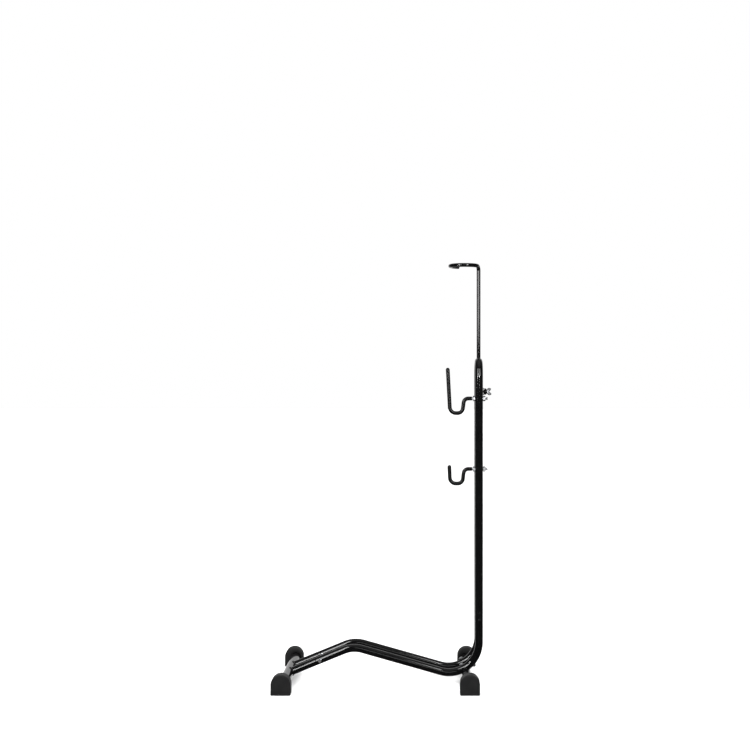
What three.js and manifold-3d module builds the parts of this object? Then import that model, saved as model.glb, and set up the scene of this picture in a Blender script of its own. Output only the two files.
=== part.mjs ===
// Free-standing stand that holds a bicycle on end, on its rear wheel.
// Two bent rails cradle the rear wheel, a hoop of tube stands behind it, and a sliding
// mast with an open ring at its top catches the front wheel.
//
// Millimetres, +Z up. The origin is on the floor at the middle of the overall box.
// +X points to the hoop at the rear, +Y to the left side, -Y to the right side.

import * as THREE from 'three';
import { mergeVertices } from 'three/addons/utils/BufferGeometryUtils.js';
import Module from 'manifold-3d';

const wasm = await Module();
wasm.setup();

// ---------------------------------------------------------------- driving dimensions

const GAP = 0.3; // clearance between pieces that touch
const OVERLAP = 1; // how far a cutter runs past the face that it opens

// Frame tube: rails, stubs and hoop share one section
const TUBE_R = 11;
const TUBE_BORE_R = 9.5;
const SPIGOT_R = 9.1;
const SPIGOT_BORE_R = 7.7;
const SPIGOT_LENGTH = 45;
const SWAGE_LENGTH = 8;
const RAIL_Y = 40; // from the middle plane to a rail or a leg of the hoop

// Feet
const FOOT_HALF_LENGTH = 200; // to the outer faces of the end caps
const FRONT_BAR = { x: -269, z: 28, r: 14, bore: 12.2 };
const REAR_BAR = { x: 230, z: 26, r: 12.5, bore: 10.7 };
const CAP_WIDTH = 54;
const CAP_HEIGHT = 56;
const CAP_LENGTH = 35;
const CAP_WALL = 5.5;
const CAP_EDGE = 2;
const FRONT_CAP_X = -275;
const REAR_CAP_X = 236;

// Rails: straight up from the front bar, over a crest, down to a dip, up into the hoop
const CREST = { x: -88.8, z: 101.1, r: 80 };
const DIP = { x: 266, z: 1, r: 85 };
const STUB_LENGTH = 84; // from the front bar's axis to the joint with the rail
const FRONT_BOLT_AT = 95; // from the front bar's axis to the joint bolt

// Hoop
const HOOP_X = DIP.x;
const HOOP_TOP_Z = 903; // centre line at the top of the arch
const HOOP_JOINT_Z = 197;
const HOOP_SCREW_Z = 175.5;

// Mast with its open ring
const ROD_R = 5.5;
const MAST_FOOT_Z = 672;
const RING_Z = 1173.5;
const RING_R = 39;
const RING_END_DEG = 250;
const MAST_BEND_R = 14;
const MAST_CAP_R = 7;
const MAST_CAP_LENGTH = 16;
const MAST_CAP_FLOOR = 2;
const MAST_CAP_CHAMFER = 1;

// Mast clamp
const CLAMP_Z = 817;
const CLAMP_BAR = { x: 270, r: 12.5, bore: 10.5, halfLength: 31 };
const CLAMP_NUT_R = 9;
const CLAMP_NUT_BACK_X = 288;
const WING_BACK_X = 302;
const WING_REST_DEG = 35;
const WING = { hubR: 6.5, hubLength: 8.5, earR: 5.5, earY: 11.5, thick: 2.6 };

// J hooks on the right leg
const UPPER_HOOK = { z: 798, tip: { x: 178, z: 884.5 } };
const LOWER_HOOK = { z: 600, tip: { x: 182.5, z: 611 } };
const HOOK_DROP = 41;
const HOOK_OUTER_BEND_R = 17;
const HOOK_INNER_BEND_R = 15;
const HOOK_NECK_R = 13;
const HOOK_NECK_X = 224;
const HOOK_INNER_X = 219;
const HOOK_OUTER_X = 184.5;
const HOOK_THREAD_END_X = 290;
const HOOK_SLEEVE_END_X = 246;
const SLEEVE_BORE_R = 4.3;

// Fasteners: shank radius, across-flats size and thickness of head or nut
const M8 = { r: 4, flats: 13, thick: 6.5 };
const M6 = { r: 3, flats: 10, thick: 4.2 };
const SCREW = { r: 2.4, headR: 4.8, headHeight: 2.8, length: 15 };
const SCREW_DOME_STEPS = [0.35, 0.7, 1]; // shares of the way from the crown to the rim
const DIP_HEAD_GAP = 0.6; // under a flat bolt head that spans the hollow of the dip
const FRONT_BOLT_SPARE = 3; // thread that stands past the nut
const REAR_BOLT_SPARE = 2;

// Roundness of the meshes
const TUBE_SIDES = 16;
const BORE_SIDES = 12;
const ROD_SIDES = 12;
const BOLT_SIDES = 10;
const BEND_CHORD = 12; // length of a step round a bend
const BEND_MIN_STEPS = 4;
const MAST_BEND_STEPS = 5;
const RING_STEPS = 18;
const CAP_CURVE = 12;
const SMALL_CURVE = 6;

// ---------------------------------------------------------------- colours

const gloss = { color: 0x0b0b0c, roughness: 0.16, metalness: 0 };
const vinyl = { color: 0x101011, roughness: 0.42, metalness: 0 };
const plastic = { color: 0x2a2a2b, roughness: 0.62, metalness: 0 };
const zinc = { color: 0xc3c6c8, roughness: 0.3, metalness: 1 };

// ---------------------------------------------------------------- solids and cuts

// Turns a closed three.js geometry into a solid that can be joined and cut.
function solid(geometry) {
  const bare = new THREE.BufferGeometry();
  bare.setAttribute('position', geometry.getAttribute('position').clone());
  if (geometry.index) bare.setIndex(geometry.index.clone());
  const merged = mergeVertices(bare, 1e-4);
  const vertProperties = new Float32Array(merged.getAttribute('position').array);
  const triVerts = new Uint32Array(merged.index.array);
  const body = new wasm.Manifold(new wasm.Mesh({ numProp: 3, vertProperties, triVerts }));
  if (body.volume() > 0) return body;
  for (let i = 0; i < triVerts.length; i += 3) {
    [triVerts[i + 1], triVerts[i + 2]] = [triVerts[i + 2], triVerts[i + 1]];
  }
  return new wasm.Manifold(new wasm.Mesh({ numProp: 3, vertProperties, triVerts }));
}

function geometryOf(body) {
  const { vertProperties, triVerts } = body.getMesh();
  const geometry = new THREE.BufferGeometry();
  geometry.setAttribute('position', new THREE.BufferAttribute(vertProperties, 3));
  geometry.setIndex(new THREE.BufferAttribute(triVerts, 1));
  geometry.computeVertexNormals();
  return geometry;
}

function piece(name, body, finish) {
  const geometry = body.isBufferGeometry ? body : geometryOf(body);
  const mesh = new THREE.Mesh(geometry, new THREE.MeshStandardMaterial(finish));
  mesh.name = name;
  return mesh;
}

// ---------------------------------------------------------------- tubes along bent paths

// A path whose steps land on the given points, so that straights need no extra steps.
class KnotPath extends THREE.Curve {
  constructor(points) {
    super();
    this.points = points;
  }

  indexAt(u) {
    return Math.round(u * (this.points.length - 1));
  }

  getPointAt(u, target = new THREE.Vector3()) {
    return target.copy(this.points[this.indexAt(u)]);
  }

  getTangentAt(u, target = new THREE.Vector3()) {
    const i = this.indexAt(u);
    const before = this.points[Math.max(i - 1, 0)];
    const after = this.points[Math.min(i + 1, this.points.length - 1)];
    return target.subVectors(after, before).normalize();
  }
}

// Points along straights joined by round bends. Each inner corner has its own bend radius.
function bentPath(corners) {
  const points = [corners[0].point.clone()];
  for (let i = 1; i < corners.length - 1; i += 1) {
    const { point, bend } = corners[i];
    const toBefore = corners[i - 1].point.clone().sub(point).normalize();
    const toAfter = corners[i + 1].point.clone().sub(point).normalize();
    const turn = Math.PI - toBefore.angleTo(toAfter);
    const reach = bend * Math.tan(turn / 2);
    const start = point.clone().addScaledVector(toBefore, reach);
    const inward = toAfter.clone().addScaledVector(toBefore, -toAfter.dot(toBefore)).normalize();
    const steps = Math.max(BEND_MIN_STEPS, Math.ceil((turn * bend) / BEND_CHORD));
    for (let k = 0; k <= steps; k += 1) {
      const angle = (turn * k) / steps;
      const knot = start.clone().addScaledVector(toBefore, -bend * Math.sin(angle));
      knot.addScaledVector(inward, bend * (1 - Math.cos(angle)));
      if (knot.distanceTo(points[points.length - 1]) > 0.01) points.push(knot);
    }
  }
  points.push(corners[corners.length - 1].point.clone());
  return points;
}

function corner(x, y, z, bend = 0) {
  return { point: new THREE.Vector3(x, y, z), bend };
}

function circleShape(radius, sides) {
  const ring = [];
  for (let i = 0; i < sides; i += 1) {
    const angle = (2 * Math.PI * i) / sides;
    ring.push(new THREE.Vector2(radius * Math.cos(angle), radius * Math.sin(angle)));
  }
  return new THREE.Shape(ring);
}

function tube(points, radius, sides = TUBE_SIDES) {
  return solid(new THREE.ExtrudeGeometry(circleShape(radius, sides), {
    steps: points.length - 1,
    extrudePath: new KnotPath(points),
    bevelEnabled: false,
  }));
}

// The same path, longer by the given amounts at its first and last points.
function lengthened(points, atStart, atEnd) {
  const result = points.map((point) => point.clone());
  const last = result.length - 1;
  const startDirection = points[0].clone().sub(points[1]).normalize();
  const endDirection = points[last].clone().sub(points[last - 1]).normalize();
  result[0].addScaledVector(startDirection, atStart);
  result[last].addScaledVector(endDirection, atEnd);
  return result;
}

function rod(from, to, radius, sides = BOLT_SIDES) {
  return tube([from, to], radius, sides);
}

function hollowTube(points, radius, boreRadius) {
  const bore = tube(lengthened(points, OVERLAP, OVERLAP), boreRadius, BORE_SIDES);
  return tube(points, radius).subtract(bore);
}

// A reduced end that plugs into the next tube, from the shoulder along a direction.
function spigot(shoulder, direction) {
  const at = (distance) => shoulder.clone().addScaledVector(direction, distance);
  return {
    plug: rod(at(-SWAGE_LENGTH), at(SPIGOT_LENGTH), SPIGOT_R, TUBE_SIDES),
    bore: rod(at(-SWAGE_LENGTH - OVERLAP), at(SPIGOT_LENGTH + OVERLAP), SPIGOT_BORE_R, BORE_SIDES),
  };
}

// ---------------------------------------------------------------- shared lines and places

const hoopScrew = { x: HOOP_X, z: HOOP_SCREW_Z };
const alongX = new THREE.Vector3(1, 0, 0);
const downZ = new THREE.Vector3(0, 0, -1);

const stubDirection = new THREE.Vector3(CREST.x - FRONT_BAR.x, 0, CREST.z - FRONT_BAR.z).normalize();

// A point on a stub or the start of a rail, measured from the front bar's axis.
function onStub(side, distance) {
  return new THREE.Vector3(FRONT_BAR.x, side * RAIL_Y, FRONT_BAR.z).addScaledVector(stubDirection, distance);
}

function railPath(side) {
  const joint = onStub(side, STUB_LENGTH);
  return bentPath([
    { point: joint, bend: 0 },
    corner(CREST.x, side * RAIL_Y, CREST.z, CREST.r),
    corner(DIP.x, side * RAIL_Y, DIP.z, DIP.r),
    corner(HOOP_X, side * RAIL_Y, HOOP_JOINT_Z),
  ]);
}

// Centre of the rail's dip bend, from the two straights that meet at its corner.
const dipTurn = Math.PI / 2 + Math.atan2(CREST.z - DIP.z, DIP.x - CREST.x);
const dipCentre = new THREE.Vector3(DIP.x - DIP.r, 0, DIP.z + DIP.r * Math.tan(dipTurn / 2));
const rearBoltDirection = new THREE.Vector3(REAR_BAR.x, 0, REAR_BAR.z).sub(dipCentre);
const rearBarDistance = rearBoltDirection.length();
rearBoltDirection.normalize();

// A point on a rear bolt's axis, measured from the centre of the dip bend.
function onRearBolt(side, distance) {
  return dipCentre.clone().addScaledVector(rearBoltDirection, distance).setY(side * RAIL_Y);
}

// A rod across the stand, between two distances from the middle plane on one side.
function crossRod(side, { x, z }, from, to, radius, sides = BOLT_SIDES) {
  const start = new THREE.Vector3(x, side * from, z);
  const end = new THREE.Vector3(x, side * to, z);
  return rod(start, end, radius, sides);
}

// The space that a bar across the stand takes up, with its clearance.
function barSpace({ x, r }, z, halfLength) {
  return crossRod(1, { x, z }, -halfLength, halfLength, r + GAP, TUBE_SIDES);
}

// ---------------------------------------------------------------- feet

function footBar({ x, z, r, bore }) {
  const end = FOOT_HALF_LENGTH - CAP_WALL - GAP;
  const points = [new THREE.Vector3(x, -end, z), new THREE.Vector3(x, end, z)];
  return hollowTube(points, r, bore);
}

// D-shaped cap with a flat sole, and a socket for the bar that is off its middle.
function footCap(bar, socketX) {
  const half = CAP_WIDTH / 2 - CAP_EDGE;
  const top = CAP_HEIGHT - CAP_EDGE;
  const outline = new THREE.Shape();
  outline.moveTo(half, CAP_EDGE);
  outline.lineTo(half, top - half);
  outline.absarc(0, top - half, half, 0, Math.PI, false);
  outline.lineTo(-half, CAP_EDGE);
  outline.closePath();
  const shell = new THREE.ExtrudeGeometry(outline, {
    depth: CAP_LENGTH - 2 * CAP_EDGE,
    curveSegments: CAP_CURVE,
    bevelThickness: CAP_EDGE,
    bevelSize: CAP_EDGE,
    bevelSegments: 1,
  });
  shell.translate(0, 0, CAP_EDGE);
  const socket = rod(
    new THREE.Vector3(socketX, bar.z, CAP_WALL),
    new THREE.Vector3(socketX, bar.z, CAP_LENGTH + OVERLAP),
    bar.r + GAP,
    TUBE_SIDES,
  );
  return geometryOf(solid(shell).subtract(socket));
}

// Stands a cap on the floor with its closed face outwards, on the given side.
function placedCap(name, bar, capX, side) {
  const cap = piece(name, footCap(bar, side * (bar.x - capX)), plastic);
  cap.rotation.set(Math.PI / 2, side < 0 ? Math.PI : 0, 0);
  cap.position.set(capX, side * FOOT_HALF_LENGTH, 0);
  return cap;
}

function frontStub(side) {
  const barAxis = onStub(side, 0);
  const shoulder = onStub(side, STUB_LENGTH);
  const { plug, bore } = spigot(shoulder, stubDirection);
  const wideBoreEnd = onStub(side, STUB_LENGTH - SWAGE_LENGTH);
  const wideBore = rod(onStub(side, -OVERLAP), wideBoreEnd, TUBE_BORE_R, BORE_SIDES);
  const bolt = onStub(side, FRONT_BOLT_AT);
  const boltHole = crossRod(side, bolt, RAIL_Y - 2 * TUBE_R, RAIL_Y + 2 * TUBE_R, M6.r + GAP);
  return rod(barAxis, shoulder, TUBE_R, TUBE_SIDES)
    .add(plug)
    .subtract(wideBore)
    .subtract(bore)
    .subtract(barSpace(FRONT_BAR, FRONT_BAR.z, FOOT_HALF_LENGTH))
    .subtract(boltHole);
}

// ---------------------------------------------------------------- rails and hoop

function baseRail(side) {
  const bolt = onStub(side, FRONT_BOLT_AT);
  const frontHole = crossRod(side, bolt, RAIL_Y - 2 * TUBE_R, RAIL_Y + 2 * TUBE_R, M6.r + GAP);
  const screwHole = crossRod(side, hoopScrew, RAIL_Y, RAIL_Y + 2 * TUBE_R, SCREW.r + GAP);
  const aboveRail = onRearBolt(side, DIP.r - 2 * TUBE_R);
  const belowRail = onRearBolt(side, DIP.r + 2 * TUBE_R);
  const rearHole = rod(aboveRail, belowRail, M6.r + GAP);
  return hollowTube(railPath(side), TUBE_R, TUBE_BORE_R)
    .subtract(frontHole)
    .subtract(screwHole)
    .subtract(rearHole);
}

function rearFootBar() {
  let bar = footBar(REAR_BAR);
  for (const side of [-1, 1]) {
    const below = rearBarDistance + 2 * REAR_BAR.r;
    bar = bar
      .subtract(tube(railPath(side), TUBE_R + GAP))
      .subtract(rod(onRearBolt(side, DIP.r), onRearBolt(side, below), M6.r + GAP));
  }
  return bar;
}

function uprightHoop() {
  const shoulder = (side) => new THREE.Vector3(HOOP_X, side * RAIL_Y, HOOP_JOINT_Z);
  const path = bentPath([
    { point: shoulder(-1), bend: 0 },
    corner(HOOP_X, -RAIL_Y, HOOP_TOP_Z, RAIL_Y),
    corner(HOOP_X, RAIL_Y, HOOP_TOP_Z, RAIL_Y),
    { point: shoulder(1), bend: 0 },
  ]);
  const bore = tube(lengthened(path, -SWAGE_LENGTH, -SWAGE_LENGTH), TUBE_BORE_R, BORE_SIDES);
  let hoop = tube(path, TUBE_R);
  for (const side of [-1, 1]) hoop = hoop.add(spigot(shoulder(side), downZ).plug);
  hoop = hoop.subtract(bore);
  for (const side of [-1, 1]) {
    hoop = hoop
      .subtract(spigot(shoulder(side), downZ).bore)
      .subtract(crossRod(side, hoopScrew, RAIL_Y, RAIL_Y + 2 * TUBE_R, SCREW.r + GAP));
  }
  const mastHole = rod(
    new THREE.Vector3(HOOP_X, 0, HOOP_TOP_Z - 2 * TUBE_R),
    new THREE.Vector3(HOOP_X, 0, HOOP_TOP_Z + 2 * TUBE_R),
    ROD_R + GAP,
    ROD_SIDES,
  );
  hoop = hoop.subtract(mastHole);
  for (const hook of [UPPER_HOOK, LOWER_HOOK]) {
    const front = new THREE.Vector3(HOOP_X - 2 * TUBE_R, -RAIL_Y, hook.z);
    const back = new THREE.Vector3(HOOP_X + 2 * TUBE_R, -RAIL_Y, hook.z);
    hoop = hoop.subtract(rod(front, back, M8.r + GAP));
  }
  return hoop;
}

// ---------------------------------------------------------------- mast and its clamp

function mast() {
  // The vertical rod bends into a tangent of the ring, so the ring's middle stays in line.
  const startAngle = Math.atan2(MAST_BEND_R, RING_R);
  const ringX = HOOP_X - Math.hypot(RING_R, MAST_BEND_R);
  const heading = new THREE.Vector3(-Math.sin(startAngle), -Math.cos(startAngle), 0);
  const points = [new THREE.Vector3(HOOP_X, 0, MAST_FOOT_Z)];
  for (let i = 0; i <= MAST_BEND_STEPS; i += 1) {
    const angle = (Math.PI / 2) * (i / MAST_BEND_STEPS);
    const height = RING_Z - MAST_BEND_R * (1 - Math.sin(angle));
    const knot = new THREE.Vector3(HOOP_X, 0, height);
    points.push(knot.addScaledVector(heading, MAST_BEND_R * (1 - Math.cos(angle))));
  }
  const endAngle = THREE.MathUtils.degToRad(RING_END_DEG);
  for (let i = 1; i <= RING_STEPS; i += 1) {
    const angle = startAngle + (endAngle - startAngle) * (i / RING_STEPS);
    points.push(new THREE.Vector3(ringX + RING_R * Math.cos(angle), -RING_R * Math.sin(angle), RING_Z));
  }
  return tube(points, ROD_R, ROD_SIDES);
}

function mastEndCap() {
  const socketR = ROD_R + GAP;
  const profile = [
    [0, 0], [MAST_CAP_R - MAST_CAP_CHAMFER, 0], [MAST_CAP_R, MAST_CAP_CHAMFER],
    [MAST_CAP_R, MAST_CAP_LENGTH], [socketR, MAST_CAP_LENGTH], [socketR, MAST_CAP_FLOOR],
    [0, MAST_CAP_FLOOR],
  ].map(([r, z]) => new THREE.Vector2(r, z));
  return new THREE.LatheGeometry(profile, ROD_SIDES).rotateX(Math.PI / 2);
}

function clampBar() {
  const end = CLAMP_BAR.halfLength;
  const ends = [new THREE.Vector3(CLAMP_BAR.x, -end, CLAMP_Z), new THREE.Vector3(CLAMP_BAR.x, end, CLAMP_Z)];
  const above = CLAMP_Z + 2 * CLAMP_BAR.r;
  const below = CLAMP_Z - 2 * CLAMP_BAR.r;
  const screwHole = rod(
    new THREE.Vector3(CLAMP_BAR.x, 0, CLAMP_Z),
    new THREE.Vector3(CLAMP_NUT_BACK_X, 0, CLAMP_Z),
    M8.r + GAP,
  );
  const upright = (y, radius, sides) => rod(
    new THREE.Vector3(HOOP_X, y, below),
    new THREE.Vector3(HOOP_X, y, above),
    radius,
    sides,
  );
  return hollowTube(ends, CLAMP_BAR.r, CLAMP_BAR.bore)
    .subtract(upright(-RAIL_Y, TUBE_R + GAP, TUBE_SIDES))
    .subtract(upright(RAIL_Y, TUBE_R + GAP, TUBE_SIDES))
    .subtract(upright(0, ROD_R + GAP, ROD_SIDES))
    .subtract(screwHole);
}

// Round weld nut that sits on the back of the clamp bar.
function clampNut() {
  const at = (x) => new THREE.Vector3(x, 0, CLAMP_Z);
  return rod(at(CLAMP_BAR.x), at(CLAMP_NUT_BACK_X), CLAMP_NUT_R, TUBE_SIDES)
    .subtract(rod(at(CLAMP_BAR.x - OVERLAP), at(CLAMP_NUT_BACK_X + OVERLAP), M8.r + GAP))
    .subtract(barSpace(CLAMP_BAR, CLAMP_Z, CLAMP_BAR.halfLength));
}

// Wing bolt on its own axis: the tip is at x = 0 and the wings spread along y.
function wingBolt(length, shankEnd) {
  const { hubR, earR, earY, thick } = WING;
  const hubEnd = shankEnd + WING.hubLength;
  const at = (x) => new THREE.Vector3(x, 0, 0);
  let bolt = rod(at(0), at(hubEnd - OVERLAP), M8.r).add(rod(at(shankEnd), at(hubEnd), hubR, ROD_SIDES));
  for (const side of [-1, 1]) {
    const ear = new THREE.Shape();
    ear.moveTo(shankEnd + OVERLAP, 0);
    ear.lineTo(length - 2 * earR, side * earY);
    ear.absarc(length - earR, side * earY, earR, Math.PI, 0, side > 0);
    ear.lineTo(hubEnd - OVERLAP, 0);
    ear.closePath();
    const slab = new THREE.ExtrudeGeometry(ear, {
      depth: thick,
      bevelEnabled: false,
      curveSegments: SMALL_CURVE,
    });
    bolt = bolt.add(solid(slab.translate(0, 0, -thick / 2)));
  }
  return bolt;
}

// ---------------------------------------------------------------- J hooks

function hookPath({ z, tip }, startX) {
  return bentPath([
    corner(startX, -RAIL_Y, z),
    corner(HOOK_NECK_X, -RAIL_Y, z, HOOK_NECK_R),
    corner(HOOK_INNER_X, -RAIL_Y, z - HOOK_DROP, HOOK_INNER_BEND_R),
    corner(HOOK_OUTER_X, -RAIL_Y, z - HOOK_DROP, HOOK_OUTER_BEND_R),
    corner(tip.x, -RAIL_Y, tip.z - ROD_R),
  ]);
}

function hookRod(hook) {
  return tube(lengthened(hookPath(hook, HOOK_THREAD_END_X), 0, -ROD_R), M8.r, BOLT_SIDES);
}

// Vinyl sleeve with a round closed tip.
function hookSleeve(hook) {
  const path = hookPath(hook, HOOK_SLEEVE_END_X);
  const end = path[path.length - 1];
  const tip = new THREE.SphereGeometry(ROD_R, ROD_SIDES, SMALL_CURVE);
  tip.rotateX(Math.PI / 2).translate(end.x, end.y, end.z);
  const bore = tube(lengthened(path, OVERLAP, GAP - ROD_R), SLEEVE_BORE_R, BOLT_SIDES);
  return tube(path, ROD_R, ROD_SIDES).add(solid(tip)).subtract(bore);
}

// ---------------------------------------------------------------- fasteners

function hexagon(flats) {
  const corners = [];
  for (let i = 0; i < 6; i += 1) {
    const angle = (Math.PI / 3) * i;
    corners.push(new THREE.Vector2(Math.cos(angle), Math.sin(angle)).multiplyScalar(flats / Math.sqrt(3)));
  }
  return new THREE.Shape(corners);
}

// Nut with its axis along z, from z = 0 up.
function nut({ r, flats, thick }) {
  const outline = hexagon(flats);
  const hole = new THREE.Path();
  hole.absarc(0, 0, r + GAP, 0, 2 * Math.PI, true);
  outline.holes.push(hole);
  return new THREE.ExtrudeGeometry(outline, {
    depth: thick,
    bevelEnabled: false,
    curveSegments: SMALL_CURVE,
  });
}

// Hex bolt with its axis along z: head below z = 0, shank above it.
function hexBolt({ r, flats, thick }, length) {
  const head = new THREE.ExtrudeGeometry(hexagon(flats), { depth: thick, bevelEnabled: false });
  const shank = rod(new THREE.Vector3(0, 0, -1), new THREE.Vector3(0, 0, length), r);
  return solid(head.translate(0, 0, -thick)).add(shank);
}

// Dome-headed screw with its axis along z: head below z = 0, shank above it.
function domeScrew({ r, headR, headHeight, length }) {
  const profile = [new THREE.Vector2(0, -headHeight)];
  for (const share of SCREW_DOME_STEPS) {
    const angle = (Math.PI / 2) * share;
    profile.push(new THREE.Vector2(headR * Math.sin(angle), -headHeight * Math.cos(angle)));
  }
  profile.push(new THREE.Vector2(r, 0), new THREE.Vector2(r, length), new THREE.Vector2(0, length));
  return new THREE.LatheGeometry(profile, BOLT_SIDES).rotateX(Math.PI / 2);
}

// Places a fastener so that its z axis points along a direction.
function placed(mesh, point, direction) {
  mesh.position.copy(point);
  mesh.quaternion.setFromUnitVectors(new THREE.Vector3(0, 0, 1), direction);
  return mesh;
}

// ---------------------------------------------------------------- assembly

const stand = new THREE.Group();

stand.add(piece('front_foot_bar', footBar(FRONT_BAR), gloss));
stand.add(piece('rear_foot_bar', rearFootBar(), gloss));
stand.add(piece('upright_hoop', uprightHoop(), gloss));

for (const [word, side] of [['left', 1], ['right', -1]]) {
  const inward = new THREE.Vector3(0, -side, 0);
  stand.add(placedCap(`front_${word}_foot_cap`, FRONT_BAR, FRONT_CAP_X, side));
  stand.add(placedCap(`rear_${word}_foot_cap`, REAR_BAR, REAR_CAP_X, side));
  stand.add(piece(`front_stub_${word}`, frontStub(side), gloss));
  stand.add(piece(`base_rail_${word}`, baseRail(side), gloss));

  const outside = side * (RAIL_Y + TUBE_R + GAP);
  const inside = side * (RAIL_Y - TUBE_R - GAP);
  const frontBolt = onStub(side, FRONT_BOLT_AT);
  const boltLength = 2 * TUBE_R + M6.thick + FRONT_BOLT_SPARE;
  const bolt = piece(`front_joint_bolt_${word}`, hexBolt(M6, boltLength), zinc);
  stand.add(placed(bolt, frontBolt.clone().setY(outside), inward));
  stand.add(placed(piece(`front_joint_nut_${word}`, nut(M6), zinc), frontBolt.clone().setY(inside), inward));

  const screw = piece(`hoop_screw_${word}`, domeScrew(SCREW), gloss);
  stand.add(placed(screw, new THREE.Vector3(HOOP_X, outside, HOOP_SCREW_Z), inward));

  const headDistance = DIP.r - TUBE_R - DIP_HEAD_GAP;
  const nutDistance = rearBarDistance + REAR_BAR.r + GAP;
  const rearLength = nutDistance - headDistance + M6.thick + REAR_BOLT_SPARE;
  const rearBolt = piece(`rear_bar_bolt_${word}`, hexBolt(M6, rearLength), zinc);
  stand.add(placed(rearBolt, onRearBolt(side, headDistance), rearBoltDirection));
  const rearNut = piece(`rear_bar_nut_${word}`, nut(M6), zinc);
  stand.add(placed(rearNut, onRearBolt(side, nutDistance), rearBoltDirection));
}

for (const [word, hook] of [['upper', UPPER_HOOK], ['lower', LOWER_HOOK]]) {
  stand.add(piece(`${word}_hook_rod`, hookRod(hook), zinc));
  stand.add(piece(`${word}_hook_sleeve`, hookSleeve(hook), vinyl));
  const frontFace = new THREE.Vector3(HOOP_X - TUBE_R - GAP - M8.thick, -RAIL_Y, hook.z);
  const backFace = new THREE.Vector3(HOOP_X + TUBE_R + GAP, -RAIL_Y, hook.z);
  stand.add(placed(piece(`${word}_hook_front_nut`, nut(M8), zinc), frontFace, alongX));
  stand.add(placed(piece(`${word}_hook_rear_nut`, nut(M8), zinc), backFace, alongX));
}

stand.add(piece('mast', mast(), gloss));
const endCap = piece('mast_end_cap', mastEndCap(), vinyl);
endCap.position.set(HOOP_X, 0, MAST_FOOT_Z - MAST_CAP_FLOOR - GAP);
stand.add(endCap);

stand.add(piece('clamp_bar', clampBar(), gloss));
stand.add(piece('clamp_nut', clampNut(), gloss));
const tipX = HOOP_X + ROD_R + GAP;
const bolt = piece('clamp_wing_bolt', wingBolt(WING_BACK_X - tipX, CLAMP_NUT_BACK_X + GAP - tipX), zinc);
bolt.position.set(tipX, 0, CLAMP_Z);
bolt.rotation.x = THREE.MathUtils.degToRad(WING_REST_DEG);
stand.add(bolt);

export default stand;
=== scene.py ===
import math

import bmesh
import bpy
import numpy as np
from mathutils import Matrix, Vector


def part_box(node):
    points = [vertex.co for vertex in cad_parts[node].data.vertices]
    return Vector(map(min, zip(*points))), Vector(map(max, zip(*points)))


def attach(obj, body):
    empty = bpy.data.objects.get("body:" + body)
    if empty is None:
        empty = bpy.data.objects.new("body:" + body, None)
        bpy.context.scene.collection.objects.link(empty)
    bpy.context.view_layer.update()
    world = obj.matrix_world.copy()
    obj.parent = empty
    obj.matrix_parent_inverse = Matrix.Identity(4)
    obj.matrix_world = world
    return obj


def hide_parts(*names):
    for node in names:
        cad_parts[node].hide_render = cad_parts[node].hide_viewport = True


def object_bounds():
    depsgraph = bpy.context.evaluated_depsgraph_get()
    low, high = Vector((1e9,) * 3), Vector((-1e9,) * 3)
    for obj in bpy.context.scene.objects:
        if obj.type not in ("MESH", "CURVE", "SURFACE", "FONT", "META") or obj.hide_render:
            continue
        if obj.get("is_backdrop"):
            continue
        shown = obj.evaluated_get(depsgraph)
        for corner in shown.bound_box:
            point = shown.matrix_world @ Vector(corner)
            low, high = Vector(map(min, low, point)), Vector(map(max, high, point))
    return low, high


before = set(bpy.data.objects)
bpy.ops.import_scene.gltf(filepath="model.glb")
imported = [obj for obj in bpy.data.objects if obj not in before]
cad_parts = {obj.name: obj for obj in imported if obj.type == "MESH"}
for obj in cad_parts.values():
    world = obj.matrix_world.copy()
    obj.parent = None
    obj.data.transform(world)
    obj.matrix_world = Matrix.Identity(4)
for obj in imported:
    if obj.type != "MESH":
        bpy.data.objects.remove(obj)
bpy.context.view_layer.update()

# ------------------------------------------------------------------ dimensions, in metres

GAP = 0.0003
TUBE_R = 0.011
TUBE_BORE_R = 0.0095
SPIGOT_R = 0.0091
SPIGOT_BORE_R = 0.0077
SPIGOT_LENGTH = 0.045
SWAGE_LENGTH = 0.008
SWAGE_TAPER = 0.0032
BAR_WALL = 0.0018
CLAMP_WALL = 0.002
STUB_START = 0.002
STUB_LENGTH = 0.084
FRONT_BOLT_AT = 0.095
CREST = Vector((-0.0888, 0, 0.1011))
CREST_R = 0.080
DIP_DEPTH = 0.001
DIP_R = 0.085
HOOP_JOINT_Z = 0.197
HOOP_SCREW_Z = 0.1755
ROD_R = 0.0055
MAST_BEND_R = 0.014
MAST_BEND_STEPS = 14
MAST_FOOT_EDGE = 0.0008
MAST_TIP_EDGE = 0.0016
MAST_CAP_FLOOR = 0.0021
MAST_CAP_EDGE = 0.0016
RING_R = 0.039
RING_STEPS = 60
RING_END = math.radians(250)
HOOK_DROP = 0.041
HOOK_BEND_R = 0.017
HOOK_INNER_BEND_R = 0.015
HOOK_NECK_R = 0.013
HOOK_NECK_X = 0.224
HOOK_INNER_X = 0.219
HOOK_OUTER_X = 0.1845
HOOK_SLEEVE_END_X = 0.246
HOOK_TIPS = {"upper": (0.178, 0.8845), "lower": (0.1825, 0.611)}
HOOK_STUD_SINK = 0.003
SLEEVE_BORE_R = 0.0043
SLEEVE_DEPTH = 0.004
M8 = {"r": 0.004, "flats": 0.013, "thick": 0.0065, "pitch": 0.00125}
M6 = {"r": 0.003, "flats": 0.010, "thick": 0.0042, "pitch": 0.001}
WING_TURN = math.radians(35)
HUB_R = 0.0065
HUB_LENGTH = 0.0085
HUB_WAIST = 0.45
EAR_R = 0.0055
EAR_Y = 0.0115
EAR_THICK = 0.0028
EAR_EDGE = 0.0009
EAR_ROOT_SHARE = 0.36
EAR_SWEEP = math.radians(224)
CAST_VOXEL = 0.0004
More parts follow.
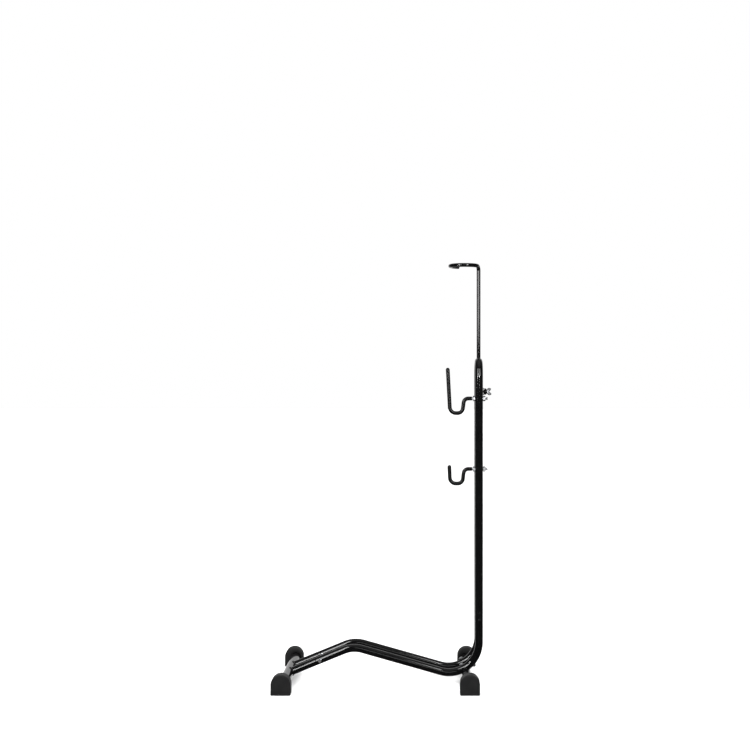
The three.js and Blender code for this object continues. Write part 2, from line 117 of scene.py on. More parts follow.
SCREW = {
    "r": 0.0024, "head_r": 0.0048, "head_height": 0.0028, "length": 0.015, "pitch": 0.0014,
    "recess_depth": 0.0016, "recess_reach": 0.0024,
}
NUT_CLEARANCE = 0.0001
NUT_SINK = 0.0005
NUT_MOUTH_SHARE = 1.14
WASHER_FACE = 0.0004
BOLT_THREADED = 0.014
HEX_FACE_SHARE = 0.475
HEX_CHAMFER = math.radians(30)
# A thread's depth, crest and flank, as shares of its pitch, and the least share left at its ends.
THREAD_DEPTH = 0.54
THREAD_CREST = 0.12
THREAD_FLANK = 0.66
THREAD_LEAST = 0.15
THREAD_STEPS = 8
DOME_STEPS = 7
DIP_HEAD_GAP = 0.0006
FRONT_BOLT_SPARE = 0.003
REAR_BOLT_SPARE = 0.002
CAP_EDGE = 0.0026
CAP_WALL = 0.0055
CAP_FOOT_R = 0.0035
# Depth from the cap's inner end, with the rim's inset or the socket's extra radius there.
CAP_RIM = [(0.0017, 0), (0.0012, 0.0002), (0.0004, 0.0007), (0, 0.0016)]
CAP_MOUTH = [(0, 0.0012), (0.0004, 0.0004), (0.0012, 0)]
LIP = 0.0005

# Weld beads: facets round one, the length of a scale, and how much the width ripples and varies.
BEAD_SIDES = 14
BEAD_PITCH = 0.0021
BEAD_RIPPLE = 0.10
BEAD_JITTER = 0.05
STUB_WELD_POINTS = 150
CLAMP_WELD_POINTS = 110
LEG_WELD_SPAN = (math.radians(76), math.radians(284))

# Facets round a tube, the turn between the rings of a bend, and the straight run that needs two
# more rings, HOLD from its ends, to keep its shading flat.
SIDES = 48
BEND_STEP = math.radians(4)
HOOK_BEND_STEP = math.radians(5)
LONG_RUN = 0.008
HOLD = 0.0005

SIDE_OF = {"left": 1, "right": -1}

# ------------------------------------------------------------------ materials

# Most of a noise texture's values lie between these two.
NOISE_LOW = 0.3
NOISE_HIGH = 0.7


def link(tree, source, target):
    tree.links.new(source, target)


def noise_node(tree, coords, scale, detail=3.0, roughness=0.5, stretch=None):
    """Noise at so many cells per metre; stretch slows it along an axis, for drawn or brushed grain."""
    node = tree.nodes.new("ShaderNodeTexNoise")
    node.inputs["Scale"].default_value = scale
    node.inputs["Detail"].default_value = detail
    node.inputs["Roughness"].default_value = roughness
    if stretch:
        mapping = tree.nodes.new("ShaderNodeMapping")
        mapping.inputs["Scale"].default_value = stretch
        link(tree, coords, mapping.inputs["Vector"])
        coords = mapping.outputs["Vector"]
    link(tree, coords, node.inputs["Vector"])
    return node.outputs["Fac"]


def spread(tree, factor, low, high, start=NOISE_LOW, end=NOISE_HIGH):
    """Maps a factor from start..end to low..high."""
    node = tree.nodes.new("ShaderNodeMapRange")
    node.inputs["From Min"].default_value = start
    node.inputs["From Max"].default_value = end
    node.inputs["To Min"].default_value = low
    node.inputs["To Max"].default_value = high
    link(tree, factor, node.inputs["Value"])
    return node.outputs["Result"]


def tint(tree, factor, colours):
    """A colour ramp through evenly spaced colours."""
    node = tree.nodes.new("ShaderNodeValToRGB")
    ramp = node.color_ramp
    ramp.elements[0].position = NOISE_LOW
    ramp.elements[1].position = NOISE_HIGH
    ramp.elements[0].color = (*colours[0], 1)
    ramp.elements[1].color = (*colours[-1], 1)
    for i, colour in enumerate(colours[1:-1], start=1):
        stop = ramp.elements.new(NOISE_LOW + (NOISE_HIGH - NOISE_LOW) * i / (len(colours) - 1))
        stop.color = (*colour, 1)
    link(tree, factor, node.inputs["Fac"])
    return node.outputs["Color"]


def bump(tree, heights):
    """Bumps in a chain: each is (factor, strength, height in metres)."""
    normal = None
    for factor, strength, distance in heights:
        node = tree.nodes.new("ShaderNodeBump")
        node.inputs["Strength"].default_value = strength
        node.inputs["Distance"].default_value = distance
        link(tree, factor, node.inputs["Height"])
        if normal is not None:
            link(tree, normal, node.inputs["Normal"])
        normal = node.outputs["Normal"]
    return normal


def new_material(name, metallic=0.0, specular=0.5):
    material = bpy.data.materials.new(name)
    material.use_nodes = True
    tree = material.node_tree
    shader = tree.nodes["Principled BSDF"]
    shader.inputs["Metallic"].default_value = metallic
    shader.inputs["Specular IOR Level"].default_value = specular
    coords = tree.nodes.new("ShaderNodeTexCoord").outputs["Object"]
    return material, tree, shader, coords


def gloss_black():
    material, tree, shader, coords = new_material("gloss_black_powder_coat", specular=0.45)
    cloud = noise_node(tree, coords, 22, 4)
    peel = noise_node(tree, coords, 520, 2)
    fine = noise_node(tree, coords, 2600, 2)
    colours = [(0.0013, 0.0013, 0.0014), (0.0025, 0.0025, 0.0026)]
    link(tree, tint(tree, cloud, colours), shader.inputs["Base Color"])
    link(tree, spread(tree, cloud, 0.05, 0.09), shader.inputs["Roughness"])
    link(tree, bump(tree, [(peel, 0.018, 0.0001), (fine, 0.012, 0.00002)]), shader.inputs["Normal"])
    return material


def black_vinyl():
    material, tree, shader, coords = new_material("black_dipped_vinyl", specular=0.22)
    cloud = noise_node(tree, coords, 60, 4)
    ripple = noise_node(tree, coords, 190, 2)
    grain = noise_node(tree, coords, 2100, 3)
    colours = [(0.0012, 0.0012, 0.0013), (0.0026, 0.0026, 0.0026)]
    link(tree, tint(tree, cloud, colours), shader.inputs["Base Color"])
    link(tree, spread(tree, cloud, 0.24, 0.34), shader.inputs["Roughness"])
    link(tree, bump(tree, [(ripple, 0.35, 0.0004), (grain, 0.12, 0.00004)]), shader.inputs["Normal"])
    return material


def grey_plastic():
    material, tree, shader, coords = new_material("grained_dark_grey_plastic", specular=0.28)
    cloud = noise_node(tree, coords, 45, 4)
    grain = noise_node(tree, coords, 1150, 4, 0.6)
    tooth = noise_node(tree, coords, 3600, 2)
    colours = [(0.0042, 0.0042, 0.0044), (0.0068, 0.0067, 0.0067)]
    link(tree, tint(tree, cloud, colours), shader.inputs["Base Color"])
    link(tree, spread(tree, grain, 0.50, 0.66), shader.inputs["Roughness"])
    link(tree, bump(tree, [(grain, 0.55, 0.00012), (tooth, 0.25, 0.00004)]), shader.inputs["Normal"])
    return material


def bright_zinc():
    material, tree, shader, coords = new_material("bright_zinc_plate", metallic=1.0)
    cloud = noise_node(tree, coords, 240, 4)
    scratch = noise_node(tree, coords, 900, 3, 0.6, (1.0, 1.0, 0.25))
    colours = [(0.46, 0.48, 0.51), (0.57, 0.58, 0.60), (0.65, 0.64, 0.61)]
    link(tree, tint(tree, cloud, colours), shader.inputs["Base Color"])
    link(tree, spread(tree, scratch, 0.30, 0.46), shader.inputs["Roughness"])
    link(tree, bump(tree, [(scratch, 0.16, 0.00005)]), shader.inputs["Normal"])
    return material


MATERIALS = {
    "gloss_black": gloss_black(),
    "black_vinyl": black_vinyl(),
    "grey_plastic": grey_plastic(),
    "bright_zinc": bright_zinc(),
}

# ------------------------------------------------------------------ surfaces through rings


def skin(rings, closed=False):
    """Vertices and faces through rings of equal size. An open run gets a point at each end."""
    size, count = len(rings[0]), len(rings)
    vertices = [tuple(p) for ring in rings for p in ring]
    faces = []
    for i in range(count if closed else count - 1):
        a, b = i * size, ((i + 1) % count) * size
        faces += [(a + k, a + (k + 1) % size, b + (k + 1) % size, b + k) for k in range(size)]
    if not closed:
        for first in (0, (count - 1) * size):
            centre = np.mean(np.array(vertices[first:first + size]), axis=0)
            faces += [(len(vertices), first + k, first + (k + 1) % size) for k in range(size)]
            vertices.append(tuple(centre))
    return vertices, faces


def make_mesh(name, surface):
    mesh = bpy.data.meshes.new(name)
    vertices, faces = surface
    mesh.from_pydata(vertices, [], faces)
    edit = bmesh.new()
    edit.from_mesh(mesh)
    bmesh.ops.recalc_face_normals(edit, faces=edit.faces)
    edit.to_mesh(mesh)
    edit.free()
    return mesh


def make_object(name, surface):
    obj = bpy.data.objects.new(name, make_mesh(name, surface))
    bpy.context.scene.collection.objects.link(obj)
    return obj


def boolean(obj, other, operation):
    """Joins or cuts obj with another surface for good."""
    tool = make_object("tool", other)
    modifier = obj.modifiers.new("cut", "BOOLEAN")
    modifier.operation = operation
    modifier.solver = "EXACT"
    modifier.object = tool
    graph = bpy.context.evaluated_depsgraph_get()
    mesh = bpy.data.meshes.new_from_object(obj.evaluated_get(graph))
    obj.modifiers.clear()
    old = obj.data
    obj.data = mesh
    mesh.name = obj.name
    bpy.data.meshes.remove(old)
    bpy.data.objects.remove(tool)


def piece(name, surface, slot, body, nodes=(), cuts=(), sharp=32):
    """Makes a piece of the stand that stands for the CAD nodes and moves with a body."""
    obj = make_object(name, surface)
    for other in cuts:
        boolean(obj, other, "DIFFERENCE")
    obj.data.materials.clear()
    obj.data.materials.append(MATERIALS[slot])
    obj.data.shade_smooth()
    obj.data.set_sharp_from_angle(angle=math.radians(sharp))
    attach(obj, body)
    if nodes:
        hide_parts(*nodes)


# ------------------------------------------------------------------ paths and sweeps


class Path:
    """A centre line of points with exact directions, and a frame that turns no more than it must."""

    def __init__(self, points, tangents):
        self.points = [Vector(p) for p in points]
        self.tangents = [Vector(t).normalized() for t in tangents]
        self.reach = [0.0]
        for a, b in zip(self.points, self.points[1:]):
            self.reach.append(self.reach[-1] + (b - a).length)
        first = self.tangents[0]
        side = Vector((0, 1, 0)) if abs(first.y) < 0.9 else Vector((1, 0, 0))
        self.normals = [(side - first * side.dot(first)).normalized()]
        for before, after in zip(self.tangents, self.tangents[1:]):
            carried = before.rotation_difference(after) @ self.normals[-1]
            self.normals.append((carried - after * carried.dot(after)).normalized())

    @property
    def length(self):
        return self.reach[-1]

    def frame_at(self, distance):
        """Point, normal and binormal at a distance along the line, or past its ends."""
        i = min(max(np.searchsorted(self.reach, distance) - 1, 0), len(self.points) - 2)
        share = (distance - self.reach[i]) / (self.reach[i + 1] - self.reach[i])
        if distance <= 0:
            near = 0
            point = self.points[0] + self.tangents[0] * distance
        elif distance >= self.length:
            near = len(self.points) - 1
            point = self.points[-1] + self.tangents[-1] * (distance - self.length)
        else:
            near = i if share < 0.5 else i + 1
            point = self.points[i].lerp(self.points[i + 1], share)
        tangent, normal = self.tangents[near], self.normals[near]
        return point, normal, tangent.cross(normal)

    def wall(self, start, end, radius):
        """Outline stations for a wall of one radius, with one at each knot of the line between."""
        knots = [d for d in self.reach if min(start, end) + 1e-6 < d < max(start, end) - 1e-6]
        knots = sorted(knots, reverse=start > end)
        return [(d, radius) for d in [start, *knots, end]]


def bent_path(corners, step=BEND_STEP):
    """Straights joined by round bends. Corners are (point, bend radius); the first and last have none."""
    points, tangents = [corners[0][0].copy()], [corners[1][0] - corners[0][0]]
    for (before, _), (point, bend), (after, _) in zip(corners, corners[1:], corners[2:]):
        to_before, to_after = (before - point).normalized(), (after - point).normalized()
        turn = math.pi - to_before.angle(to_after)
        start = point + to_before * bend * math.tan(turn / 2)
        inward = (to_after - to_before * to_after.dot(to_before)).normalized()
        steps = max(3, math.ceil(turn / step))
        for k in range(steps + 1):
            angle = turn * k / steps
            knot = start - to_before * bend * math.sin(angle) + inward * bend * (1 - math.cos(angle))
            direction = inward * math.sin(angle) - to_before * math.cos(angle)
            if (knot - points[-1]).length > 1e-5:
                points.append(knot)
                tangents.append(direction)
    points.append(corners[-1][0].copy())
    tangents.append(corners[-1][0] - corners[-2][0])
    return Path(points, tangents)


def straight(start, end):
    return Path([start, end], [end - start, end - start])


def circle(sides):
    """Cosines and sines of equal steps round a circle, as columns."""
    angles = 2 * math.pi * np.arange(sides) / sides
    return np.cos(angles)[:, None], np.sin(angles)[:, None]


def held(outline, closed):
    """Adds a station near both ends of each long run, so that smooth shading stays flat along it."""
    stations = []
    for (d0, r0), (d1, r1) in zip(outline, outline[1:] + (outline[:1] if closed else [])):
        stations.append((d0, r0))
        run = max(np.max(np.abs(np.subtract(d1, d0))), np.max(np.abs(np.subtract(r1, r0))))
        if run > LONG_RUN:
            for share in (HOLD / run, 1 - HOLD / run):
                stations.append((d0 + (d1 - d0) * share, r0 + (r1 - r0) * share))
    return stations if closed else stations + outline[-1:]


def swept(path, outline, closed=True):
    """Rings along a path from (distance, radius) stations."""
    cosines, sines = circle(SIDES)
    rings = []
    for distance, radius in held(outline, closed):
        point, normal, binormal = path.frame_at(distance)
        rings.append(np.array(point) + radius * (cosines * np.array(normal) + sines * np.array(binormal)))
    return skin(rings, closed)


def turned(origin, direction, outline, closed=False, up=None):
    """A turned body: stations are (distance, radius) from origin, either of them also one for each side."""
    axis = Vector(direction).normalized()
    up = Vector(up) if up else (Vector((0, 0, 1)) if abs(axis.z) < 0.9 else Vector((1, 0, 0)))
    normal = (up - axis * up.dot(axis)).normalized()
    binormal = axis.cross(normal)
    cosines, sines = circle(SIDES)
    rings = []
    for distance, radius in held(outline, closed):
        radii = np.broadcast_to(np.atleast_1d(radius), (SIDES,))[:, None]
        lifts = np.broadcast_to(np.atleast_1d(distance), (SIDES,))[:, None]
        ring = radii * (cosines * np.array(normal) + sines * np.array(binormal))
        rings.append(np.array(origin) + ring + lifts * np.array(axis))
    return skin(rings, closed)


def rod(start, end, radius):
    return turned(start, end - start, [(0, radius), ((end - start).length, radius)])


def lip(at, inward, outer, inner, size=LIP):
    """Stations round the end of a wall, from its outer face to its bore. Inward is +1 or -1."""
    quarter = math.sqrt(0.5)
    ease = size * (1 - quarter)
    return [
        (at + inward * size, outer), (at + inward * ease, outer - ease), (at, outer - size),
        (at, inner + size), (at + inward * ease, inner + ease), (at + inward * size, inner),
    ]


def hollow(path, outer, inner):
    """A tube with rounded lips at its two open ends."""
    end = path.length
    outline = path.wall(LIP, end - LIP, outer)[1:-1] + lip(end, -1, outer, inner)
    outline += path.wall(end - LIP, LIP, inner)[1:-1] + lip(0, 1, outer, inner)[::-1]
    return swept(path, outline)


def dome(at, radius, towards):
    """Stations of a round closed end, from its rim to near its pole."""
    angles = [math.pi / 2 * k / DOME_STEPS for k in range(DOME_STEPS)]
    return [(at + towards * radius * math.sin(a), radius * math.cos(a)) for a in angles]


def blunt(at, radius, towards, size):
    """Stations of a flat end with a rounded edge, from its rim to near its pole."""
    angles = [math.pi / 2 * k / 4 for k in range(5)]
    edge = [(at - towards * size * (1 - math.sin(a)), radius - size * (1 - math.cos(a))) for a in angles]
    return edge + [(at, (radius - size) * 0.5)]


def thread(start, end, radius, pitch):
    """Stations of a screw thread, which fades in and out at its ends."""
    depth = THREAD_DEPTH * pitch
    share = np.arange(SIDES) / SIDES
    stations = []
    count = max(2, int(abs(end - start) / pitch * THREAD_STEPS)) + 1
    for distance in np.linspace(start, end, count):
        phase = np.abs(2 * ((distance / pitch - share) % 1.0) - 1)
        groove = np.clip((phase - THREAD_CREST) / THREAD_FLANK, 0, 1)
        fade = min(1.0, abs(distance - start) / pitch, abs(end - distance) / pitch)
        stations.append((distance, radius - depth * groove * max(fade, THREAD_LEAST)))
    return stations


# ------------------------------------------------------------------ fasteners


def hexagon(flats):
    """Outer radius of a hexagon for each side, its round end face's radius and the chamfer's drop."""
    angles = (2 * math.pi * np.arange(SIDES) / SIDES) % (math.pi / 3) - math.pi / 6
    radii = flats / 2 / np.cos(angles)
    face = HEX_FACE_SHARE * flats
    return radii, face, (radii - face) * math.tan(HEX_CHAMFER)


def nut(name, size, origin, direction, body, node, up=None):
    """A chamfered hexagon nut with a countersink at both ends of its bore."""
    radii, face, drop = hexagon(size["flats"])
    thick, bore = size["thick"], size["r"] + NUT_CLEARANCE
    mouth = bore * NUT_MOUTH_SHARE
    outline = [
        (NUT_SINK, bore), (0, mouth), (0, face), (drop, radii), (thick - drop, radii),
        (thick, face), (thick, mouth), (thick - NUT_SINK, bore),
    ]
    surface = turned(origin, direction, outline, True, up=up)
    piece(name, surface, "bright_zinc", body, [node], sharp=22)


def hex_bolt(name, size, length, origin, direction, body, node, up=None):
    """A bolt with its hexagon head before the origin and its shank after it."""
    radii, face, drop = hexagon(size["flats"])
    thick, r = size["thick"], size["r"]
    threaded = min(length - 0.002, BOLT_THREADED)
    outline = [(-thick, face * 0.5), (-thick, face), (drop - thick, radii)]
    outline += [(-WASHER_FACE, radii), (-WASHER_FACE, face)]
    outline += [(0, face * 0.98), (0, r + 0.0003), (0.0004, r)]
    outline += thread(length - threaded, length - 0.0006, r, size["pitch"])
    outline += blunt(length, r - 0.0003, 1, 0.0006)
    surface = turned(origin, direction, outline, up=up)
    piece(name, surface, "bright_zinc", body, [node], sharp=22)


def cross_recess(origin, direction, depth, reach):
    """A tapering cross-shaped pit, as a surface to cut with."""
    angles = np.abs((2 * math.pi * np.arange(SIDES) / SIDES + math.pi / 4) % (math.pi / 2) - math.pi / 4)
    shape = np.minimum(1 / np.cos(angles), 0.3 / np.maximum(np.sin(angles), 1e-3))
    return turned(origin, direction, [(-0.001, shape * reach * 1.15), (depth, shape * reach * 0.45)])


def dome_screw(name, origin, direction, body, node):
    """A screw with a cross recess in its domed head, which is before the origin."""
    r, head_r, height, length = SCREW["r"], SCREW["head_r"], SCREW["head_height"], SCREW["length"]
    angles = [math.pi / 2 * k / 8 for k in range(1, 9)]
    outline = [(-height * math.cos(a), head_r * math.sin(a)) for a in angles] + [(0, r + 0.0002)]
    outline += thread(0.0008, length - 0.0008, r, SCREW["pitch"])
    outline += blunt(length, r - 0.0006, 1, 0.0008)
    top = Vector(origin) - Vector(direction).normalized() * height
    cut = cross_recess(top, direction, SCREW["recess_depth"], SCREW["recess_reach"])
    piece(name, turned(origin, direction, outline), "gloss_black", body, [node], [cut], sharp=26)


# ------------------------------------------------------------------ weld beads


def bead(name, points, outward, width, height, body, seed, closed=True):
    """A weld bead with rippled scales along a line of points, each with the way it bulges."""
    count = len(points)
    cosines, sines = circle(BEAD_SIDES)
    jitter = np.random.default_rng(seed)
    phase = jitter.uniform(0, 6)
    run, rings = 0.0, []
    for i in range(count):
        before = points[(i - 1) % count] if closed or i else points[0]
        after = points[(i + 1) % count] if closed or i < count - 1 else points[-1]
        tangent = (after - before).normalized()
        bulge = (outward[i] - tangent * outward[i].dot(tangent)).normalized()
        across = tangent.cross(bulge)
        ripple = BEAD_RIPPLE * math.sin(2 * math.pi * run / BEAD_PITCH + phase)
        scale = 1 + ripple + BEAD_JITTER * jitter.uniform(-1, 1)
        if not closed:
            scale *= math.sqrt(max(0.03, min(1.0, 4 * min(i, count - 1 - i) / count)))
        ring = cosines * np.array(across) * width * scale + sines * np.array(bulge) * height * scale
        rings.append(np.array(points[i]) + ring)
        run += (after - before).length / 2
    piece(name, skin(rings, closed), "gloss_black", body, sharp=60)


# ------------------------------------------------------------------ where things are

STAND = "stand"
bars = {}
for name in ("front", "rear"):
    low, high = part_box(f"{name}_foot_bar")
    centre = (low + high) / 2
    bars[name] = {"x": centre.x, "z": centre.z, "r": (high.x - low.x) / 2, "end": high.y}

low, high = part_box("upright_hoop")
HOOP_X = (low.x + high.x) / 2
RAIL_Y = high.y - TUBE_R
ARCH_Z = high.z - TUBE_R
ARCH_BEND_R = RAIL_Y - 0.0002
DIP = Vector((HOOP_X, 0, DIP_DEPTH))

front_axis = Vector((bars["front"]["x"], 0, bars["front"]["z"]))
stub_direction = (CREST - front_axis).normalized()


def on_stub(side, distance):
    """A point on a stub's centre line, so far from the front bar's."""
    return front_axis + stub_direction * distance + Vector((0, side * RAIL_Y, 0))


def at_side(point, side):
    return Vector((point.x, side * RAIL_Y, point.z))


def rail_path(side):
    return bent_path([
        (on_stub(side, STUB_LENGTH), 0),
        (at_side(CREST, side), CREST_R),
        (at_side(DIP, side), DIP_R),
        (Vector((HOOP_X, side * RAIL_Y, HOOP_JOINT_Z)), 0),
    ])


dip_turn = math.pi / 2 + math.atan2(CREST.z - DIP.z, DIP.x - CREST.x)
dip_centre = Vector((DIP.x - DIP_R, 0, DIP.z + DIP_R * math.tan(dip_turn / 2)))
rear_bolt_direction = Vector((bars["rear"]["x"], 0, bars["rear"]["z"])) - dip_centre
rear_bar_distance = rear_bolt_direction.length
rear_bolt_direction.normalize()


def on_rear_bolt(side, distance):
    """A point on a rear bolt's axis, so far from the centre of the rail's bend."""
    return at_side(dip_centre + rear_bolt_direction * distance, side)


def cross_rod(x, z, half, radius):
    """A solid rod across the stand, for cutting."""
    return rod(Vector((x, -half, z)), Vector((x, half, z)), radius)


# ------------------------------------------------------------------ foot bars and end caps

for name, bar in bars.items():
    ends = [Vector((bar["x"], side * bar["end"], bar["z"])) for side in (-1, 1)]
    cuts = []
    if name == "rear":
        for side in SIDE_OF.values():
            rail = rail_path(side)
            cuts.append(swept(rail, rail.wall(0, rail.length, TUBE_R + GAP / 2), closed=False))
    surface = hollow(straight(*ends), bar["r"], bar["r"] - BAR_WALL)
    piece(f"{name}_foot_bar_tube", surface, "gloss_black", STAND, [f"{name}_foot_bar"], cuts)


def d_outline(low, high, inset):
    """Points round a D standing on its flat side, inset from the box; the same count for each inset."""
    half = (high.x - low.x) / 2 - inset
    centre_x = (high.x + low.x) / 2
    base, crown = low.z + inset, high.z - inset - half
    foot = max(CAP_FOOT_R - inset, 0.0012)
    flat, rise = half - foot, crown - base - foot
    points = [(centre_x + flat - 2 * flat * k / 12, base) for k in range(13)]
    for k in range(1, 7):
        a = math.pi / 2 * k / 6
        points.append((centre_x - flat - foot * math.sin(a), base + foot - foot * math.cos(a)))
    points += [(centre_x - half, base + foot + rise * k / 6) for k in range(1, 7)]
    for k in range(1, 37):
        a = math.pi * k / 36
        points.append((centre_x - half * math.cos(a), crown + half * math.sin(a)))
    points += [(centre_x + half, crown - rise * k / 6) for k in range(1, 7)]
    for k in range(1, 6):
        a = math.pi / 2 * k / 6
        points.append((centre_x + flat + foot * math.cos(a), base + foot - foot * math.sin(a)))
    return np.array(points)


def foot_cap(end, word):
    """An end cap: a closed outer end with a round edge, a rimmed inner end, and a socket for the bar."""
    low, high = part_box(f"{end}_{word}_foot_cap")
    side, bar = SIDE_OF[word], bars[end]
    outer, inner = (high.y, low.y) if side > 0 else (low.y, high.y)
    inward = -side
    axis = np.array([bar["x"], bar["z"]])
    spokes = d_outline(low, high, 0) - axis
    spokes /= np.linalg.norm(spokes, axis=1)[:, None]

    def at_depth(flat, y):
        return np.stack([flat[:, 0], np.full(len(flat), y), flat[:, 1]], axis=1)

    def ring(y, inset):
        return at_depth(d_outline(low, high, inset), y)

    def socket_ring(y, radius):
        return at_depth(axis + spokes * radius, y)

    rings = [ring(outer, CAP_EDGE + 0.012), ring(outer, CAP_EDGE + 0.0002)]
    for k in range(6):
        a = math.pi / 2 * k / 5
        rings.append(ring(outer + inward * CAP_EDGE * (1 - math.cos(a)), CAP_EDGE * (1 - math.sin(a))))
    rings.append(ring(outer + inward * (CAP_EDGE + HOLD), 0))
    rings += [ring(inner - inward * depth, inset) for depth, inset in CAP_RIM]
    bore = bar["r"] + GAP / 2
    rings += [socket_ring(inner - inward * depth, bore + extra) for depth, extra in CAP_MOUTH]
    rings += [socket_ring(outer + inward * CAP_WALL, radius) for radius in (bore, bore * 0.5)]
    piece(f"{end}_{word}_cap", skin(rings), "grey_plastic", STAND, [f"{end}_{word}_foot_cap"], sharp=40)


for end in ("front", "rear"):
    for word in SIDE_OF:
        foot_cap(end, word)

# ------------------------------------------------------------------ stubs, rails and hoop


def stub(word):
    side = SIDE_OF[word]
    path = straight(on_stub(side, 0), on_stub(side, STUB_LENGTH + SPIGOT_LENGTH))
    shoulder, tip = STUB_LENGTH - GAP, path.length
    outline = [(STUB_START, TUBE_R), (shoulder - LIP, TUBE_R)]
    outline.append((shoulder - LIP * 0.3, TUBE_R - LIP * 0.3))
    outline += [(shoulder, TUBE_R - LIP), (shoulder, SPIGOT_R), *lip(tip, -1, SPIGOT_R, SPIGOT_BORE_R)]
    outline.append((shoulder - SWAGE_LENGTH, SPIGOT_BORE_R))
    outline.append((shoulder - SWAGE_LENGTH - SWAGE_TAPER, TUBE_BORE_R))
    outline.append((STUB_START, TUBE_BORE_R))
    bar = bars["front"]
    cut = cross_rod(bar["x"], bar["z"], RAIL_Y * 2, bar["r"] - 0.0002)
    surface = swept(path, outline)
    piece(f"front_stub_tube_{word}", surface, "gloss_black", STAND, [f"front_stub_{word}"], [cut])

    # The weld runs where the stub's surface meets the bar's.
    above = Vector((-stub_direction.z, 0, stub_direction.x))
    points, outward = [], []
    for angle in np.linspace(0, 2 * math.pi, STUB_WELD_POINTS, endpoint=False):
        radial = above * math.cos(angle) + Vector((0, math.sin(angle), 0))
        start = on_stub(side, 0) + radial * TUBE_R
        offset = Vector((start.x - bar["x"], 0, start.z - bar["z"]))
        along = offset.dot(stub_direction)
        reach = -along + math.sqrt(along * along - offset.length_squared + bar["r"] ** 2)
        point = start + stub_direction * reach
        from_bar = Vector((point.x - bar["x"], 0, point.z - bar["z"])).normalized()
        points.append(point)
        outward.append(radial + from_bar)
    bead(f"front_stub_weld_{word}", points, outward, 0.0026, 0.0019, STAND, 3 + side)


for word in SIDE_OF:
    stub(word)
    surface = hollow(rail_path(SIDE_OF[word]), TUBE_R, TUBE_BORE_R)
    piece(f"base_rail_tube_{word}", surface, "gloss_black", STAND, [f"base_rail_{word}"])

legs = [Vector((HOOP_X, side * RAIL_Y, HOOP_JOINT_Z + GAP)) for side in (-1, 1)]
hoop_path = bent_path([
    (legs[0], 0),
    (Vector((HOOP_X, -RAIL_Y, ARCH_Z)), ARCH_BEND_R),
    (Vector((HOOP_X, RAIL_Y, ARCH_Z)), ARCH_BEND_R),
    (legs[1], 0),
])
hook_z = {}
for word in HOOK_TIPS:
    low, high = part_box(f"{word}_hook_rear_nut")
    hook_z[word] = (low.z + high.z) / 2


def hoop_outline(path):
    """The hoop's tube with a reduced spigot at each foot."""
    end = path.length
    outline = [*lip(-SPIGOT_LENGTH, 1, SPIGOT_R, SPIGOT_BORE_R)[::-1], (0, SPIGOT_R), (0, TUBE_R - LIP)]
    outline += [(LIP * 0.3, TUBE_R - LIP * 0.3), *path.wall(LIP, end - LIP, TUBE_R)]
    outline += [(end - LIP * 0.3, TUBE_R - LIP * 0.3), (end, TUBE_R - LIP), (end, SPIGOT_R)]
    outline += lip(end + SPIGOT_LENGTH, -1, SPIGOT_R, SPIGOT_BORE_R)
    outline.append((end - SWAGE_LENGTH, SPIGOT_BORE_R))
    outline += path.wall(end - SWAGE_LENGTH - SWAGE_TAPER, SWAGE_LENGTH + SWAGE_TAPER, TUBE_BORE_R)
    outline.append((SWAGE_LENGTH, SPIGOT_BORE_R))
    return outline


# Holes for the mast through the arch, and for the hooks' rods through the right leg.
through = (-0.02, 0.02)
hoop_cuts = [rod(*[Vector((HOOP_X, 0, ARCH_Z + shift)) for shift in through], ROD_R + GAP)]
for z in hook_z.values():
    ends = [Vector((HOOP_X + shift, -RAIL_Y, z)) for shift in through]
    hoop_cuts.append(rod(*ends, M8["r"] + GAP))
surface = swept(hoop_path, hoop_outline(hoop_path))
piece("upright_hoop_tube", surface, "gloss_black", STAND, ["upright_hoop"], hoop_cuts)

# ------------------------------------------------------------------ mast

low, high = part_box("mast")
RING_Z = high.z - ROD_R
MAST_FOOT_Z = low.z


def mast_path():
    """Up the mast, round its bend and on round the ring, which lies flat."""
    start_angle = math.atan2(MAST_BEND_R, RING_R)
    ring_x = HOOP_X - math.hypot(RING_R, MAST_BEND_R)
    heading = Vector((-math.sin(start_angle), -math.cos(start_angle), 0))
    up = Vector((0, 0, 1))
    points, tangents = [Vector((HOOP_X, 0, MAST_FOOT_Z))], [up]
    for k in range(MAST_BEND_STEPS + 1):
        angle = math.pi / 2 * k / MAST_BEND_STEPS
        height = RING_Z - MAST_BEND_R * (1 - math.sin(angle))
        points.append(Vector((HOOP_X, 0, height)) + heading * MAST_BEND_R * (1 - math.cos(angle)))
        tangents.append(up * math.cos(angle) + heading * math.sin(angle))
    for k in range(1, RING_STEPS + 1):
        angle = start_angle + (RING_END - start_angle) * k / RING_STEPS
        points.append(Vector((ring_x + RING_R * math.cos(angle), -RING_R * math.sin(angle), RING_Z)))
        tangents.append(Vector((-math.sin(angle), -math.cos(angle), 0)))
    return Path(points, tangents)


path = mast_path()
outline = blunt(0, ROD_R, -1, MAST_FOOT_EDGE)[::-1]
outline += path.wall(MAST_FOOT_EDGE, path.length - MAST_TIP_EDGE, ROD_R)[1:-1]
outline += blunt(path.length, ROD_R, 1, MAST_TIP_EDGE)
piece("mast_rod", swept(path, outline, closed=False), "gloss_black", "mast", ["mast"])

low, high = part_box("mast_end_cap")
cap_r, cap_length = (high.x - low.x) / 2, high.z - low.z
outline = blunt(0, cap_r, -1, MAST_CAP_EDGE)[::-1]
outline += [(cap_length * 0.5, cap_r), (cap_length - 0.0008, cap_r + 0.0001), (cap_length, cap_r - 0.0006)]
outline += [(cap_length - 0.0004, ROD_R + 0.0002), (MAST_CAP_FLOOR, ROD_R + 0.0002)]
surface = turned(Vector((HOOP_X, 0, low.z)), (0, 0, 1), outline)
piece("mast_end_sleeve", surface, "black_vinyl", "mast_foot", ["mast_end_cap"], sharp=40)

# ------------------------------------------------------------------ mast clamp

